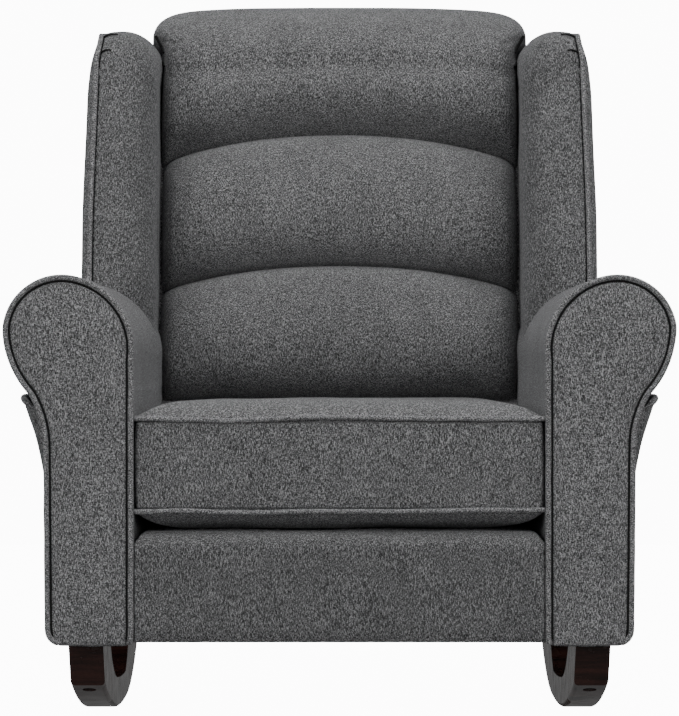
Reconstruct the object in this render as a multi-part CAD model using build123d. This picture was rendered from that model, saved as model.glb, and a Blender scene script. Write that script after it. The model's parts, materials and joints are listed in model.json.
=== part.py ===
from build123d import *
import math
import os

# Wingback rocking armchair. Millimetres, +X to the right, +Y to the back, +Z up.
# The origin is on the floor, at the centre of the bounding box's base.
# The chair stands level, with the rockers' lowest point under its centre of gravity.

# Overall places
# FAR is a distance past everything, for cutting shapes
FAR = 500.0
FRONT_Y = -400.0
BASE_Z = 118.0
FRAME_Z = 120.0
LEAN = 11.0
BACK_FOOT_Y = 296.0
BACK_FOOT_Z = 417.0

# Arms
ARM_IN_X = 257.0
ARM_OUT_X = 371.0
ARM_TOP_Z = 578.0
ARM_MAX_X = 422.0
ROLL_BASE_Z = 424.0
FACE_T = 16.0
WELT_W = 8.0
WELT_INSET = 1.0
BOARD_T = 15.0
BOARD_REAR_Y = FRONT_Y + FACE_T + BOARD_T

# Wooden frame
RAIL_IN_X = 300.0
RAIL_OUT_X = 345.0
SIDE_RAIL_TOP = 200.0
CROSS_RAIL_TOP = 217.0
CROSS_RAIL_T = 22.0
BACK_COVER_T = 8.0
BACK_BOARD_T = 35.0
WEBBING_T = 2.0
WEBBING_WIDTH = 55.0
WEBBING_HEIGHTS = (60.0, 190.0, 320.0, 450.0)
POST_IN_X = 265.0

# Cross rails of the back, as heights up its slope
TOP_RAIL_HEIGHTS = (445.0, 505.0)
MIDDLE_RAIL_HEIGHTS = (215.0, 255.0)
BOTTOM_RAIL_HEIGHTS = (-130.0, -80.0)

# Wings
WING_IN_X = 258.0
WING_OUT_X = 358.0
WING_BOARD_T = 15.0
WING_TOP_Z = 946.0

# Seat
SEAT_HALF_X = 252.0
SEAT_FRONT_Y = -393.0
SEAT_REAR_Y = 118.0
SEAT_BOTTOM_Z = 260.0
SEAT_TOP_Z = 420.0
SEAT_WELT_TOP_Z = 395.0
SEAT_WELT_BOTTOM_Z = 279.0
SEAT_WELT = 6.0
SEAT_CORNER_R = 26.0
SEAT_TOP_CHAMFER = 16.0
SEAT_BOTTOM_CHAMFER = 12.0
DECK_TOP_Z = 257.0
DECK_T = 24.0
BAND_RECESS = 2.0

# Back rolls: heights of the sewn channels up the leaning back, and depths from its rear face
ROLL_ENDS = [0.0, 180.0, 366.0]
BACK_HEIGHT = 580.0
ROLL_REAR = BACK_COVER_T + BACK_BOARD_T + WEBBING_T
ROLL_VALLEY = 122.0
ROLL_CREST = 152.0
TOP_ROLL_HALF_X = 281.0
ROLL_SKIN = 16.0

# Springs
SPRING_X = [-200.0, -100.0, 0.0, 100.0, 200.0]
SPRING_WIRE = 4.0
SPRING_BEND_R = 4.0
SPRING_WAVES = 20
SPRING_HALF_WIDTH = 22.0
SPRING_LEAD = 12.0
SPRING_Z = 223.0
CLIP_SIZE = (16.0, 16.0, 10.0)

# Rockers
ROCK_Y = 14.0
MIDDLE_R = 1500.0
MIDDLE_HALF = 60.0
FRONT_R = 900.0
REAR_R = 450.0
RUNNER_T = 40.0
LEG_IN_X = 299.0
LEG_OUT_X = 343.0
TOE_Y = -325.0
TAIL_Y = 285.0
LEG_FRONT_Y = -362.0
ARCH_FRONT_Y = -250.0
ARCH_REAR_Y = 112.0
REAR_LEG_REAR_Y = 215.0
EDGE_ROUND = 5.0

# Fasteners
BOLT_R = 4.0
HEAD_R = 6.5
HEAD_H = 7.0
KEY_R = 2.9
COUNTERBORE_R = 8.75
COUNTERBORE_DEPTH = 14.0
ROCKER_BOLT_TOP = 180.0
DOWEL_R = 5.0

# Side pocket
POCKET_Y = (-315.0, -40.0)
POCKET_BOTTOM_Z = 222.0
POCKET_TOP_Z = 420.0
POCKET_MOUTH_X = 405.0
POCKET_WALL = 3.0


def along_x(outline, low, high):
    """Extrudes a flat outline, whose two axes are Y and Z, from X = low to X = high."""
    plane = Plane(origin=(low, 0, 0), x_dir=(0, 1, 0), z_dir=(1, 0, 0))
    return extrude(plane * outline, amount=high - low, dir=(1, 0, 0))


def along_y(outline, low, high):
    """Extrudes a flat outline, whose two axes are X and Z, from Y = low to Y = high."""
    plane = Plane(origin=(0, high, 0), x_dir=(1, 0, 0), z_dir=(0, -1, 0))
    return extrude(plane * outline, amount=high - low, dir=(0, -1, 0))


def box_between(low, high):
    """A box from its lowest corner to its highest."""
    size = [high[k] - low[k] for k in range(3)]
    centre = [(high[k] + low[k]) / 2 for k in range(3)]
    return Pos(*centre) * Box(*size)


def mirrored(solid):
    return mirror(solid, about=Plane.YZ)


def up_the_back(height, depth):
    """(Y, Z) of a point of the leaning back: height along the lean, depth in front of its rear face."""
    lean = math.radians(LEAN)
    y = BACK_FOOT_Y + height * math.sin(lean) - depth * math.cos(lean)
    z = BACK_FOOT_Z + height * math.cos(lean) + depth * math.sin(lean)
    return (y, z)


def leaning_slab(x_low, x_high, height_low, height_high, depth_low, depth_high):
    """A box in the leaning frame of the back."""
    corners = [
        up_the_back(height_low, depth_low),
        up_the_back(height_high, depth_low),
        up_the_back(height_high, depth_high),
        up_the_back(height_low, depth_high),
    ]
    return along_x(make_face(Polyline(*corners, close=True)), x_low, x_high)


def behind_the_back(depth):
    """Everything behind the plane at that depth in front of the back's rear face."""
    return leaning_slab(-FAR, FAR, -FAR, 2 * FAR, -FAR, depth)


def arm_outline():
    """The right-hand scroll arm from the front: straight inside, a roll on top, a waist below it."""
    edges = [
        Line((ARM_IN_X, BASE_Z), (258, 472)),
        ThreePointArc((258, 472), (277, 543), (335, ARM_TOP_Z)),
        ThreePointArc((335, ARM_TOP_Z), (399, 559), (ARM_MAX_X, 514)),
        ThreePointArc((ARM_MAX_X, 514), (415, 472), (390, 430)),
        ThreePointArc((390, 430), (377, 402), (ARM_OUT_X, 365)),
        Line((ARM_OUT_X, 365), (369, 140)),
        ThreePointArc((369, 140), (363, 125), (349, BASE_Z)),
        Line((349, BASE_Z), (ARM_IN_X, BASE_Z)),
    ]
    return make_face(edges)


def arm_slice(inset, front, rear):
    """The arm outline, drawn in by inset, between two depths."""
    outline = arm_outline()
    if inset > 0:
        outline = offset(outline, amount=-inset, kind=Kind.INTERSECTION)
    return along_y(outline, front, rear)


def arm_front_board():
    return arm_slice(4, FRONT_Y + FACE_T, BOARD_REAR_Y)


def arm_face():
    return arm_slice(WELT_INSET + WELT_W, FRONT_Y, FRONT_Y + FACE_T)


def arm_welt():
    """The piping round the arm's front panel."""
    ring = arm_slice(WELT_INSET, FRONT_Y + 1, FRONT_Y + 1 + WELT_W)
    return ring - arm_face()


def arm_cover(frame):
    """The arm's padding behind the piping: the roll, the inner panel and the outer panel."""
    whole = arm_slice(0, FRONT_Y + 1 + WELT_W, 420)
    whole -= behind_the_back(BACK_COVER_T)
    whole -= arm_face() + arm_front_board()
    for member in frame:
        whole -= member
    roll = whole & box_between((200, -500, ROLL_BASE_Z), (500, 500, 700))
    inner = whole & box_between((200, -500, CROSS_RAIL_TOP + 4), (RAIL_IN_X - 10, 500, ROLL_BASE_Z))
    outer = whole & box_between((RAIL_OUT_X + 3, -500, 0), (500, 500, ROLL_BASE_Z))
    return roll, inner, outer


def wing_outline(inset):
    """The wing seen from the side, wider than the cover behind it, which trims it."""
    front = 28 + inset
    top = WING_TOP_Z - inset
    edges = [
        Line((front, 440), (front, 585)),
        Line((front, 585), (front + 62, 850)),
        ThreePointArc((front + 62, 850), (front + 84, 908), (front + 140, top)),
        Line((front + 140, top), (430, top - 8)),
        Line((430, top - 8), (430, 440)),
        Line((430, 440), (front, 440)),
    ]
    return make_face(edges)


def wing_board():
    """The plywood wing, fixed outside the back post."""
    board = along_x(wing_outline(26), RAIL_IN_X, RAIL_IN_X + WING_BOARD_T)
    return board - behind_the_back(BACK_COVER_T)


def wing_pad(frame):
    pad = along_x(wing_outline(0), WING_IN_X, WING_OUT_X)
    pad -= behind_the_back(BACK_COVER_T)
    pad -= arm_slice(0, FRONT_Y, 430)
    for member in frame:
        pad -= member
    pad = pad & box_between((0, -500, 450), (500, 500, 1100))
    hollow = along_x(wing_outline(34), RAIL_IN_X + WING_BOARD_T, WING_OUT_X - 12)
    hollow &= box_between((0, -500, 600), (500, 500, 1100))
    return pad - (hollow - behind_the_back(BACK_COVER_T + 24))


def wing_welt():
    """The piping down the wing's outer front edge, let into the pad."""
    outer = wing_outline(-2)
    strip = along_x(outer, WING_OUT_X - 9, WING_OUT_X - 3)
    strip -= along_x(wing_outline(4), WING_OUT_X - 20, WING_OUT_X + 5)
    strip -= arm_slice(0, FRONT_Y, 430)
    return strip & box_between((0, -500, 500), (500, 178, 1100))


def back_roll(number):
    """One stuffed channel of the back, from number 0 at the seat to number 2 at the top."""
    low = ROLL_ENDS[number]
    if number == 2:
        return top_back_roll(low)
    high = ROLL_ENDS[number + 1]
    crest = up_the_back((low + high) / 2, ROLL_CREST)
    foot = up_the_back(low, ROLL_VALLEY)
    head = up_the_back(high, ROLL_VALLEY)
    edges = [
        Line(up_the_back(low, ROLL_REAR), up_the_back(high, ROLL_REAR)),
        Line(up_the_back(high, ROLL_REAR), head),
        ThreePointArc(head, crest, foot),
        Line(foot, up_the_back(low, ROLL_REAR)),
    ]
    roll = along_x(make_face(edges), -ARM_IN_X, ARM_IN_X) - roll_core(low, high)
    if number == 0:
        roll += leaning_slab(-ARM_IN_X, ARM_IN_X, -150, 0, ROLL_REAR, ROLL_VALLEY - 14)
    return roll


def top_back_roll(low):
    """The top channel wraps over the top rail and spreads over the wings' inner tops."""
    foot = up_the_back(low, ROLL_VALLEY)
    brow = up_the_back(BACK_HEIGHT - 45, ROLL_CREST - 18)
    crown = up_the_back(BACK_HEIGHT, 70)
    nape = up_the_back(BACK_HEIGHT - 40, 0)
    edges = [
        Line(up_the_back(low, 0), nape),
        ThreePointArc(nape, up_the_back(BACK_HEIGHT - 12, 14), crown),
        ThreePointArc(crown, up_the_back(BACK_HEIGHT - 13, 113), brow),
        ThreePointArc(brow, up_the_back(low + 110, ROLL_CREST), foot),
        Line(foot, up_the_back(low, 0)),
    ]
    outline = make_face(edges)
    narrow = along_x(outline, -ARM_IN_X, ARM_IN_X)
    wide = along_x(outline, -TOP_ROLL_HALF_X, TOP_ROLL_HALF_X)
    wide &= box_between((-500, -500, WING_TOP_Z + 1), (500, 500, 1100))
    return narrow + wide - roll_core(low, BACK_HEIGHT - 30)


def roll_core(low, high):
    """The sealed hollow for a channel's loose fibre, which is far lighter than its quilted skin."""
    skin = ROLL_SKIN
    half = ARM_IN_X - skin
    return leaning_slab(-half, half, low + skin, high - skin, ROLL_REAR + skin, ROLL_VALLEY - skin)


def outside_back():
    """The flat panel that closes the back, as wide as the arms and wings in front of it."""
    arm = arm_outline()
    tall = WING_TOP_Z - 8
    wide = Pos(0, (BASE_Z + tall) / 2) * Rectangle(2 * (ARM_IN_X + 40), tall - BASE_Z)
    wings = Pos(0, (500 + tall) / 2) * Rectangle(2 * WING_OUT_X, tall - 500)
    silhouette = arm + mirror(arm, about=Plane.YZ) + wide + wings
    return along_y(silhouette, -100, 420) & leaning_slab(-500, 500, -450, 560, 0, BACK_COVER_T)


def side_rail():
    rail = box_between((RAIL_IN_X, BOARD_REAR_Y, FRAME_Z), (RAIL_OUT_X, 400, SIDE_RAIL_TOP))
    return rail - behind_the_back(BACK_COVER_T)


def front_rail():
    low = (-RAIL_IN_X, BOARD_REAR_Y, FRAME_Z)
    high = (RAIL_IN_X, BOARD_REAR_Y + CROSS_RAIL_T, CROSS_RAIL_TOP)
    return box_between(low, high)


def rear_rail_y():
    """The rear rail's rear face, just in front of the back posts' feet."""
    return up_the_back(-300, ROLL_REAR)[0] - 2


def rear_rail():
    y = rear_rail_y()
    return box_between((-RAIL_IN_X, y - CROSS_RAIL_T, FRAME_Z), (RAIL_IN_X, y, CROSS_RAIL_TOP))


def corner_block(y, way):
    """A triangular glue block in a corner of the base; way is 1 where the corner is at its front."""
    leg = 60
    corner = (RAIL_IN_X, y)
    points = [corner, (RAIL_IN_X - leg, y), (RAIL_IN_X, y + way * leg)]
    face = make_face(Polyline(*points, close=True))
    return Pos(0, 0, FRAME_Z + 10) * extrude(face, amount=45, dir=(0, 0, 1))


def back_post():
    post = leaning_slab(POST_IN_X, RAIL_IN_X, -450, 505, BACK_COVER_T, BACK_COVER_T + BACK_BOARD_T)
    return post & box_between((0, -500, FRAME_Z), (500, 500, 1100))


def back_rail(height_low, height_high):
    """A cross rail between the back posts."""
    depth = BACK_COVER_T + BACK_BOARD_T
    return leaning_slab(-POST_IN_X, POST_IN_X, height_low, height_high, BACK_COVER_T, depth)


def arm_top_rail():
    low = (RAIL_IN_X + WING_BOARD_T, BOARD_REAR_Y, 490)
    rail = box_between(low, (RAIL_OUT_X, 400, 520))
    return rail - behind_the_back(BACK_COVER_T)


def arm_rear_post():
    return box_between((RAIL_IN_X + WING_BOARD_T, 120, SIDE_RAIL_TOP), (RAIL_OUT_X, 165, 490))


def back_webbing():
    """Four elastic straps across the front of the back posts."""
    straps = []
    for height in WEBBING_HEIGHTS:
        top = height + WEBBING_WIDTH
        strap = leaning_slab(-RAIL_IN_X, RAIL_IN_X, height, top, ROLL_REAR - WEBBING_T, ROLL_REAR)
        straps.append(strap)
    return Compound(children=straps)


def spring_front_y():
    return BOARD_REAR_Y + CROSS_RAIL_T - 4


def spring_rear_y():
    return rear_rail_y() - CROSS_RAIL_T + 4


def seat_spring(x):
    """One zig-zag wire from the front rail to the rear rail."""
    front, rear = spring_front_y(), spring_rear_y()
    pitch = (rear - front - 2 * SPRING_LEAD) / SPRING_WAVES
    points = [(x, front), (x, front + SPRING_LEAD)]
    for wave in range(SPRING_WAVES):
        side = 1 if wave % 2 else -1
        points.append((x + side * SPRING_HALF_WIDTH, front + SPRING_LEAD + pitch * (wave + 0.5)))
    points += [(x, rear - SPRING_LEAD), (x, rear)]
    path = FilletPolyline(*[(p[0], p[1], SPRING_Z) for p in points], radius=SPRING_BEND_R)
    section = Plane(origin=path @ 0, z_dir=path % 0) * Circle(SPRING_WIRE / 2)
    return sweep(section, path=path)


def spring_clips():
    clips = []
    for x in SPRING_X:
        for y, way in ((spring_front_y(), -1), (spring_rear_y(), 1)):
            centre = (x, y + way * CLIP_SIZE[1] / 2, CROSS_RAIL_TOP + CLIP_SIZE[2] / 2)
            clips.append(Pos(*centre) * Box(*CLIP_SIZE))
    return Compound(children=clips)


def seat_deck():
    """The padded deck that the loose cushion lies on."""
    rear = up_the_back(-170, ROLL_REAR)[0] - 4
    return box_between((-ARM_IN_X, BOARD_REAR_Y, DECK_TOP_Z - DECK_T), (ARM_IN_X, rear, DECK_TOP_Z))


def front_band():
    """The padded cover of the front rail, rounded at its top corners."""
    half = ARM_IN_X
    band = box_between((-half, FRONT_Y + BAND_RECESS, BASE_Z), (half, BOARD_REAR_Y, DECK_TOP_Z))
    top = band.edges().filter_by(Axis.Y).group_by(Axis.Z)[-1]
    band = fillet(top, radius=14)
    return band


def dust_cover():
    """Black cloth under the seat, between the rockers' tops."""
    half = LEG_IN_X - 1
    return box_between((-half, BOARD_REAR_Y, BASE_Z), (half, rear_rail_y(), FRAME_Z))


def seat_plan(grow):
    """The cushion's plan with rounded corners."""
    wide = 2 * (SEAT_HALF_X + grow)
    deep = SEAT_REAR_Y - SEAT_FRONT_Y + 2 * grow
    plan = RectangleRounded(wide, deep, SEAT_CORNER_R + grow)
    return Pos(0, (SEAT_REAR_Y + SEAT_FRONT_Y) / 2, 0) * plan


def seat_cushion():
    """The loose box cushion: a boxing band between two crowned panels, and a flat middle to its top."""
    height = SEAT_TOP_Z - SEAT_BOTTOM_Z
    block = Pos(0, 0, SEAT_BOTTOM_Z) * extrude(seat_plan(0), amount=height, dir=(0, 0, 1))
    block = chamfer(block.faces().sort_by(Axis.Z)[-1].edges(), SEAT_TOP_CHAMFER)
    return chamfer(block.faces().sort_by(Axis.Z)[0].edges(), SEAT_BOTTOM_CHAMFER)


def seat_welt(z):
    ring = extrude(seat_plan(4) - seat_plan(0), amount=SEAT_WELT, dir=(0, 0, 1))
    return Pos(0, 0, z) * ring


def cushion_zipper():
    return box_between((-200, SEAT_REAR_Y, 330), (200, SEAT_REAR_Y + 2.5, 338))


def side_pocket():
    """A fabric pocket on the arm's outer panel, sewn down at its foot and ends and open at its top."""
    low, high = POCKET_Y
    wall = POCKET_WALL
    foot = (ARM_OUT_X + 4, POCKET_BOTTOM_Z)
    outer = [(340, POCKET_BOTTOM_Z), foot, (POCKET_MOUTH_X, POCKET_TOP_Z), (340, POCKET_TOP_Z)]
    inner = [
        (300, POCKET_BOTTOM_Z + 10),
        (foot[0] - wall + 2, POCKET_BOTTOM_Z + 10),
        (POCKET_MOUTH_X - wall, POCKET_TOP_Z + 1),
        (300, POCKET_TOP_Z + 1),
    ]
    pocket = along_y(make_face(Polyline(*outer, close=True)), low, high)
    pocket -= along_y(make_face(Polyline(*inner, close=True)), low + wall, high - wall)
    return pocket - arm_slice(0, FRONT_Y, 300)


def sole_arc(y):
    """(centre, radius) of the sole's arc at y: flat in the middle and tighter to the toe and tail."""
    turn = math.asin(MIDDLE_HALF / MIDDLE_R)
    joint_z = MIDDLE_R * (1 - math.cos(turn))
    if abs(y - ROCK_Y) <= MIDDLE_HALF:
        return (ROCK_Y, MIDDLE_R), MIDDLE_R
    if y < ROCK_Y:
        centre_y = ROCK_Y - MIDDLE_HALF + FRONT_R * math.sin(turn)
        return (centre_y, joint_z + FRONT_R * math.cos(turn)), FRONT_R
    centre_y = ROCK_Y + MIDDLE_HALF - REAR_R * math.sin(turn)
    return (centre_y, joint_z + REAR_R * math.cos(turn)), REAR_R


def sole_point(y, depth):
    """(Y, Z) of the point that is depth inside the sole, square to the sole at y."""
    centre, radius = sole_arc(y)
    turn = math.asin((y - centre[0]) / radius)
    r = radius - depth
    return (centre[0] + r * math.sin(turn), centre[1] - r * math.cos(turn))


def rocker_outline():
    """The rocker from the side: a curved sole, a leaning front end and an arch between two legs."""
    toe = sole_point(TOE_Y, 0)
    tail = sole_point(TAIL_Y, 0)
    tail_top = sole_point(TAIL_Y, RUNNER_T - 4)
    arch_front = (ARCH_FRONT_Y, FRAME_Z)
    arch_rear = (ARCH_REAR_Y, FRAME_Z)
    arch_low = sole_point(ROCK_Y + 8, RUNNER_T)
    front_spring = sole_point(ARCH_FRONT_Y + 135, RUNNER_T)
    rear_spring = sole_point(ARCH_REAR_Y - 75, RUNNER_T)
    ball = sole_point(ROCK_Y - MIDDLE_HALF, 0)
    heel = sole_point(ROCK_Y + MIDDLE_HALF, 0)
    edges = [
        ThreePointArc(toe, sole_point((TOE_Y + ball[0]) / 2, 0), ball),
        ThreePointArc(ball, sole_point(ROCK_Y, 0), heel),
        ThreePointArc(heel, sole_point((TAIL_Y + heel[0]) / 2, 0), tail),
        Line(tail, tail_top),
        ThreePointArc(tail_top, (REAR_LEG_REAR_Y + 30, 99), (REAR_LEG_REAR_Y, FRAME_Z)),
        Line((REAR_LEG_REAR_Y, FRAME_Z), arch_rear),
        ThreePointArc(arch_rear, (ARCH_REAR_Y - 26, 76), rear_spring),
        ThreePointArc(rear_spring, arch_low, front_spring),
        ThreePointArc(front_spring, (ARCH_FRONT_Y + 46, 78), arch_front),
        Line(arch_front, (LEG_FRONT_Y, FRAME_Z)),
        ThreePointArc((LEG_FRONT_Y, FRAME_Z), (LEG_FRONT_Y + 17, 92), toe),
    ]
    return make_face(edges)


def rocker_bolt_spots():
    """Where the long bolts enter the sole: one under the front leg and one under the rear leg."""
    return [TOE_Y + 22, REAR_LEG_REAR_Y - 48]


def upright_rod(y, radius, low, high):
    """A vertical rod in the middle of the rocker's thickness."""
    x = (LEG_IN_X + LEG_OUT_X) / 2
    return Pos(x, y, (low + high) / 2) * Cylinder(radius, high - low)


def bolt_seat_z(y):
    """Height of the counterbore's bottom above the sole at y."""
    return sole_point(y, 0)[1] + COUNTERBORE_DEPTH


def rocker_bolt(y):
    """A long socket-head bolt from the sole up through the leg into the side rail."""
    seat = bolt_seat_z(y)
    bolt = upright_rod(y, HEAD_R, seat - HEAD_H, seat) + upright_rod(y, BOLT_R, seat, ROCKER_BOLT_TOP)
    return bolt - upright_rod(y, KEY_R, seat - HEAD_H - 1, seat - HEAD_H + 4)


def on_the_sole(point):
    return TOE_Y < point.Y < TAIL_Y and abs(point.Z - sole_point(point.Y, 0)[1]) < 0.5


def rocker():
    """One curved board, its lower edges rounded over, drilled and counterbored for two long bolts."""
    board = along_x(rocker_outline(), LEG_IN_X, LEG_OUT_X)
    sole_edges = [edge for edge in board.edges().filter_by(GeomType.CIRCLE) if on_the_sole(edge @ 0.5)]
    board = fillet(sole_edges, radius=EDGE_ROUND)
    for y in rocker_bolt_spots():
        board -= upright_rod(y, COUNTERBORE_R, -20, bolt_seat_z(y))
        board -= upright_rod(y, BOLT_R, 0, ROCKER_BOLT_TOP)
    return board


def dowel(y):
    """A wooden dowel that locates the rocker's leg under the side rail."""
    return upright_rod(y, DOWEL_R, FRAME_Z - 25, FRAME_Z + 25)


def dowel_spots():
    return [LEG_FRONT_Y + 85, ARCH_REAR_Y + 24]


def frame_bolt(y, z):
    """A bolt through the side rail, its head in the outer face and its end in the member inside it."""
    x = RAIL_OUT_X - HEAD_H
    shank = Pos((x + POST_IN_X + 6) / 2, y, z) * Rot(0, 90, 0) * Cylinder(BOLT_R, x - POST_IN_X - 6)
    head = Pos(x + HEAD_H / 2, y, z) * Rot(0, 90, 0) * Cylinder(10, HEAD_H)
    return shank + head


def frame_bolt_spots():
    """Two bolts into each back post's foot and two into each front corner."""
    spots = []
    for z in (140, 185):
        spots.append((up_the_back((z - BACK_FOOT_Z) / math.cos(math.radians(LEAN)), 26)[0] + 5, z))
    front = BOARD_REAR_Y + CROSS_RAIL_T / 2
    spots.append((front, 145))
    spots.append((front, 180))
    return spots


def frame_bolts():
    return [frame_bolt(y, z) for y, z in frame_bolt_spots()]


def rocker_bolts():
    return [rocker_bolt(y) for y in rocker_bolt_spots()]


def dowels():
    return [dowel(y) for y in dowel_spots()]


def corner_blocks():
    front = corner_block(BOARD_REAR_Y + CROSS_RAIL_T, 1)
    rear = corner_block(rear_rail_y() - CROSS_RAIL_T, -1)
    return [front, rear]


def cut(solid, tools):
    for tool in tools:
        solid -= tool
    return solid


def both_sides(solids):
    return solids + [mirrored(solid) for solid in solids]


def group(solids):
    """Identical pieces on both sides of the chair, as one node."""
    return Compound(children=both_sides(solids))


def top_roll():
    """The top channel, cleared for the frame that it wraps."""
    rails = [back_rail(*TOP_RAIL_HEIGHTS), back_rail(*MIDDLE_RAIL_HEIGHTS)]
    frame = rails + both_sides([back_post(), wing_board()])
    return cut(back_roll(2), frame + [back_webbing(), outside_back()])


def base_and_back():
    """The nodes that cross the chair."""
    return {
        "front_rail": cut(front_rail(), both_sides(frame_bolts())),
        "rear_rail": rear_rail(),
        "back_top_rail": back_rail(*TOP_RAIL_HEIGHTS),
        "back_middle_rail": back_rail(*MIDDLE_RAIL_HEIGHTS),
        "back_bottom_rail": back_rail(*BOTTOM_RAIL_HEIGHTS),
        "back_webbing": back_webbing(),
        "seat_springs": Compound(children=[seat_spring(x) for x in SPRING_X]),
        "spring_clips": spring_clips(),
        "seat_deck": seat_deck(),
        "front_band": front_band(),
        "dust_cover": dust_cover(),
        "outside_back": outside_back(),
        "back_roll_bottom": back_roll(0),
        "back_roll_middle": back_roll(1),
        "back_roll_top": top_roll(),
        "seat_cushion": seat_cushion(),
        "seat_welt_top": seat_welt(SEAT_WELT_TOP_Z),
        "seat_welt_bottom": seat_welt(SEAT_WELT_BOTTOM_Z),
        "cushion_zipper": cushion_zipper(),
    }


def fasteners():
    return {
        "corner_blocks": group(corner_blocks()),
        "rocker_bolts": group(rocker_bolts()),
        "rocker_dowels": group(dowels()),
        "frame_bolts": group(frame_bolts()),
    }


def right_frame():
    """The wooden members of the right-hand side, cut for their bolts, dowels and joints."""
    return {
        "side_rail": cut(side_rail(), frame_bolts() + rocker_bolts() + dowels()),
        "back_post": cut(back_post(), frame_bolts()),
        "arm_front_board": arm_front_board(),
        "arm_top_rail": arm_top_rail(),
        "arm_rear_post": arm_rear_post(),
        "wing_board": cut(wing_board(), [arm_top_rail(), arm_rear_post()]),
        "rocker": cut(rocker(), dowels()),
    }


def right_padding():
    """The padding, piping and pocket of the right-hand side, cleared for the frame inside them."""
    frame = [side_rail(), back_post(), arm_front_board(), wing_board(), arm_top_rail(), arm_rear_post()]
    frame.append(back_webbing())
    back_frame = leaning_slab(-POST_IN_X, POST_IN_X, -150, 560, 0, ROLL_REAR + 5)
    roll, inner, outer = arm_cover(frame + [back_frame])
    rails = [back_rail(*TOP_RAIL_HEIGHTS), back_rail(*MIDDLE_RAIL_HEIGHTS)]
    welt = wing_welt()
    return {
        "arm_roll": roll,
        "inside_arm": inner,
        "outside_arm": outer,
        "arm_face": arm_face(),
        "arm_welt": arm_welt(),
        "wing_pad": wing_pad(frame + rails) - welt,
        "wing_welt": welt,
        "side_pocket": side_pocket(),
    }


def main():
    nodes = base_and_back() | fasteners()
    for name, solid in (right_frame() | right_padding()).items():
        nodes[name + "_right"] = solid
        nodes[name + "_left"] = mirrored(solid)
    os.makedirs("parts", exist_ok=True)
    for name, shape in nodes.items():
        export_step(shape, f"parts/{name}.step")
    print(len(nodes), "nodes")


main()
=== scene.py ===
"""Wingback rocking armchair: upholstery, piping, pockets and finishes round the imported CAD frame."""
import json
import math

import bpy
import numpy as np
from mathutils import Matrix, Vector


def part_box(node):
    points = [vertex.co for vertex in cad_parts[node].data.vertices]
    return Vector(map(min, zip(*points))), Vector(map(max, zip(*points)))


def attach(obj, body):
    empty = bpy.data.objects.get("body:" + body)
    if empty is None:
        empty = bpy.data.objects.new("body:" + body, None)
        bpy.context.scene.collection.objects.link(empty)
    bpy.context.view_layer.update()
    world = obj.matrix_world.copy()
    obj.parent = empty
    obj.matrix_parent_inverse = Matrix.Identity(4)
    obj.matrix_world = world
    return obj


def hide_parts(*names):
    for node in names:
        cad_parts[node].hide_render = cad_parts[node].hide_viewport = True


MM = 0.001
TINY = 1e-9
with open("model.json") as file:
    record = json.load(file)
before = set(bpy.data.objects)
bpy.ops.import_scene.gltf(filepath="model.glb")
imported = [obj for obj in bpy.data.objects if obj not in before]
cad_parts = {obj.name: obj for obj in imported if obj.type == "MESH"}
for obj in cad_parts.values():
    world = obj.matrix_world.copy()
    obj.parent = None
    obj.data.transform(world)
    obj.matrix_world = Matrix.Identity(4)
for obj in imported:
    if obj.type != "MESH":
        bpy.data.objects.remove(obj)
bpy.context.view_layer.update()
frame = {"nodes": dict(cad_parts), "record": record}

# ---- places
FRONT_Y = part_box("arm_face_right")[0].y
BASE_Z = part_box("arm_welt_right")[0].z - 1 * MM
WING_FRONT_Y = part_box("wing_pad_right")[0].y
CUSHION_LOW, CUSHION_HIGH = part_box("seat_cushion")
BAND_TOP_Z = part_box("front_band")[1].z
POCKET_LOW, POCKET_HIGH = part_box("side_pocket_right")

# Heights run up the leaning back's slope from this foot, and depths forward from its rear face
LEAN = math.radians(11)
BACK_FOOT_Y = 296 * MM
BACK_FOOT_Z = 417 * MM
# Thickness of the panel over the back's rear face
PANEL_T = 8 * MM

SIDES = ((1, "right"), (-1, "left"))


def joined(*coordinates):
    """Points from their coordinates, each an array or a number."""
    return np.stack(np.broadcast_arrays(*coordinates), axis=-1)


def rear_y(z, depth=0.0):
    """Y of the plane at that depth in front of the back's rear face, at height z above the floor."""
    return BACK_FOOT_Y + (z - BACK_FOOT_Z) * math.tan(LEAN) - depth / math.cos(LEAN)


def back_grid(height, depth, x):
    """Points of the leaning back, from heights up its slope and depths in front of its rear face."""
    y = BACK_FOOT_Y + height * math.sin(LEAN) - depth * math.cos(LEAN)
    z = BACK_FOOT_Z + height * math.cos(LEAN) + depth * math.sin(LEAN)
    return joined(x, y, z)


# ---- curves, with their settings in mm
RIPPLE_WAVES = 7
# A direction in which no path sets out
ASKEW = (0.13, 0.97, 0.21)


def smooth(t):
    t = np.clip(t, 0, 1)
    return t * t * (3 - 2 * t)


def ease(value, start, width):
    """Rises smoothly from 0 to 1 over that width from the start."""
    return smooth((value - start * MM) / (width * MM))


def shares(count):
    return np.linspace(0, 1, count)


def crowded(count):
    """Numbers from 0 to 1 that lie closer together near both ends."""
    return 0.5 - 0.5 * np.cos(math.pi * shares(count))


def climbing(values):
    """The values made to rise at every step, as np.interp needs."""
    return np.maximum.accumulate(values) + np.arange(len(values)) * TINY


def pillow(distance, edge, fullness, width):
    """Padding sewn down at a seam: it stands up steeply beside the seam, then swells slowly."""
    distance = np.maximum(distance, 0) / MM
    steep = edge * (1 - np.exp(-(distance / 1.1) ** 1.3))
    return (steep + fullness * (1 - np.exp(-distance / width))) * MM


def crown(distance, height, width):
    """How far padding stands out at a distance from its seam."""
    return height * MM * (1 - np.exp(-np.maximum(distance, 0) / (width * MM)))


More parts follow.
